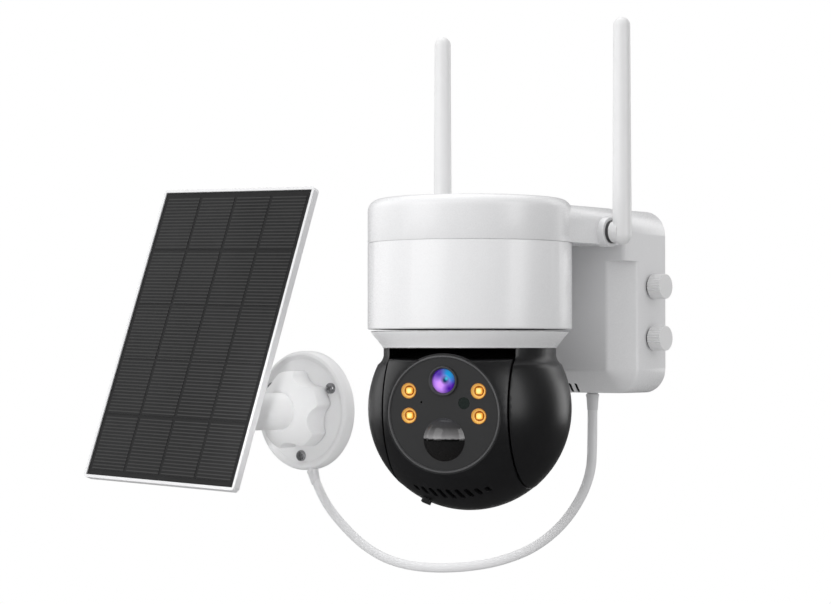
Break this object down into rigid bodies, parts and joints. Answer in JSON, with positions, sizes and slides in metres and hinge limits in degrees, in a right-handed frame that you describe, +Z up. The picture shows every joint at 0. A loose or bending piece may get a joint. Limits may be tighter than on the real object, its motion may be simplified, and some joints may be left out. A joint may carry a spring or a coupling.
{
  "type": "solar security camera",
  "caption": "Wall-mounted pan-and-tilt security camera with stick antennas on a battery box, fed through a cord by a separate tilting solar panel on a round wall mount.",
  "frame": {"origin": "centre of the camera's four wall holes, in the plane of the wall", "axes": "+X right along the wall, +Y into the wall, +Z up; the camera looks towards -Y"},
  "size_m": [0.3445, 0.172, 0.314],
  "materials": {
    "white_housing": "satin moulded",
    "bracket_steel": "matt black powder coat",
    "back_plate_plastic": "matt",
    "mesh_black": "matt",
    "cell_wrap": "shrink wrap",
    "circuit_board": "solder mask",
    "motor_steel": "plated",
    "shaft_steel": "ground",
    "journal_plastic": "matt",
    "ring_dark": "matt",
    "antenna_white": "matt",
    "core_copper": "wire",
    "thumb_white": "knurled",
    "washer_rubber": "matt",
    "grommet_rubber": "matt",
    "cord_jacket": "matt",
    "head_black": "satin",
    "rim_black": "satin",
    "plate_dark": "matt",
    "lens_ring_black": "gloss",
    "lens_coated": "coated",
    "led_gold": "plated",
    "led_yellow": "phosphor",
    "sensor_black": "gloss",
    "sensor_can": "plated",
    "light_green": "tinted",
    "speaker_black": "matt",
    "cover_black": "matt",
    "solar_white": "satin",
    "base_screw_dark": "zinc",
    "panel_white": "satin",
    "cells_black": "laminated"
  },
  "bodies": {
    "camera_base": {"battery_box": "white_housing", "vent_mesh": "mesh_black", "wall_bracket": "bracket_steel", "back_plate": "back_plate_plastic", "battery_cells": "cell_wrap", "charge_board": "circuit_board", "box_gland": "grommet_rubber", "top_cover": "white_housing", "drum_body": "white_housing", "pan_motor": "motor_steel", "main_board": "circuit_board", "antenna_axles": "shaft_steel", "antenna_rings": "ring_dark", "solar_base": "solar_white", "base_gland": "grommet_rubber", "solar_base_screws": "base_screw_dark", "cord": "cord_jacket"},
    "head_pan": {"pan_collar": "white_housing", "pan_shaft": "shaft_steel", "yoke_bracket": "bracket_steel", "yoke_shell_left": "white_housing", "yoke_shell_right": "white_housing", "tilt_motor": "motor_steel"},
    "head_tilt": {"head_front_shell": "head_black", "head_rear_shell": "head_black", "face_rim": "rim_black", "face_plate": "plate_dark", "lens_ring": "lens_ring_black", "lens_glass": "lens_coated", "lens_barrel": "lens_ring_black", "sensor_board": "circuit_board", "led_cups": "led_gold", "led_chips": "led_yellow", "led_board": "circuit_board", "motion_lens": "sensor_black", "motion_sensor": "sensor_can", "light_sensor": "light_green", "microphone": "sensor_can", "speaker": "speaker_black", "card_reader": "speaker_black", "tilt_shaft": "shaft_steel", "tilt_journal": "journal_plastic"},
    "card_cover": {"card_cover": "cover_black"},
    "antenna_left": {"antenna_left": "antenna_white", "antenna_core_left": "core_copper"},
    "antenna_right": {"antenna_right": "antenna_white", "antenna_core_right": "core_copper"},
    "thumb_washer_upper": {"thumb_washer_upper": "washer_rubber"},
    "thumb_screw_upper": {"thumb_screw_upper": "thumb_white"},
    "thumb_washer_lower": {"thumb_washer_lower": "washer_rubber"},
    "thumb_screw_lower": {"thumb_screw_lower": "thumb_white"},
    "lock_nut": {"lock_nut": "solar_white"},
    "solar_arm": {"solar_arm": "solar_white"},
    "solar_panel": {"panel_frame": "panel_white", "solar_cells": "cells_black", "panel_back": "panel_white", "panel_hinge": "solar_white", "tilt_bolt": "shaft_steel", "junction_box": "solar_white"}
  },
  "joints": [
    {"name": "head_pan", "type": "hinge", "parent": "camera_base", "child": "head_pan", "pos_m": [0, -0.108, -0.0164], "axis": [0, 0, 1], "range_deg": [-195, 155]},
    {"name": "head_tilt", "type": "hinge", "parent": "head_pan", "child": "head_tilt", "pos_m": [0, -0.108, -0.0584], "axis": [0.9403, 0.3404, 0], "range_deg": [-3.5, 86]},
    {"name": "card_cover", "type": "hinge", "parent": "head_tilt", "child": "card_cover", "pos_m": [-0.01023, -0.13121, -0.10725], "axis": [0.878, 0.3344, -0.3425], "range_deg": [0, 80]},
    {"name": "antenna_left", "type": "hinge", "parent": "camera_base", "child": "antenna_left", "pos_m": [-0.062, -0.0535, 0.037], "axis": [1, 0, 0], "range_deg": [-22, 90]},
    {"name": "antenna_right", "type": "hinge", "parent": "camera_base", "child": "antenna_right", "pos_m": [0.062, -0.0535, 0.037], "axis": [1, 0, 0], "range_deg": [-22, 90]},
    {"name": "thumb_screw_upper_travel", "type": "slide", "parent": "camera_base", "child": "thumb_washer_upper", "axis": [1, 0, 0], "range_m": [0, 0.0024]},
    {"name": "thumb_screw_upper_turn", "type": "hinge", "parent": "thumb_washer_upper", "child": "thumb_screw_upper", "pos_m": [0.06, -0.0135, 0.0082], "axis": [1, 0, 0], "range_deg": [0, 1080]},
    {"name": "thumb_screw_lower_travel", "type": "slide", "parent": "camera_base", "child": "thumb_washer_lower", "axis": [1, 0, 0], "range_m": [0, 0.0024]},
    {"name": "thumb_screw_lower_turn", "type": "hinge", "parent": "thumb_washer_lower", "child": "thumb_screw_lower", "pos_m": [0.06, -0.0135, -0.0205], "axis": [1, 0, 0], "range_deg": [0, 1080]},
    {"name": "lock_nut", "type": "hinge", "parent": "camera_base", "child": "lock_nut", "pos_m": [-0.213, -0.016, -0.0653], "axis": [0, -1, 0], "range_deg": [0, 120]},
    {"name": "solar_arm", "type": "hinge", "parent": "camera_base", "child": "solar_arm", "pos_m": [-0.213, -0.016, -0.0653], "axis": [0, -1, 0], "range_deg": [-90, 90]},
    {"name": "solar_panel", "type": "hinge", "parent": "solar_arm", "child": "solar_panel", "pos_m": [-0.213, -0.1006, -0.0653], "axis": [-0.9996, 0, 0.0279], "range_deg": [-44, 28]}
  ],
  "couplings": [
    {"joint": "thumb_screw_upper_turn", "follows": "thumb_screw_upper_travel", "rad_per_m": 7850},
    {"joint": "thumb_screw_lower_turn", "follows": "thumb_screw_lower_travel", "rad_per_m": 7850}
  ]
}
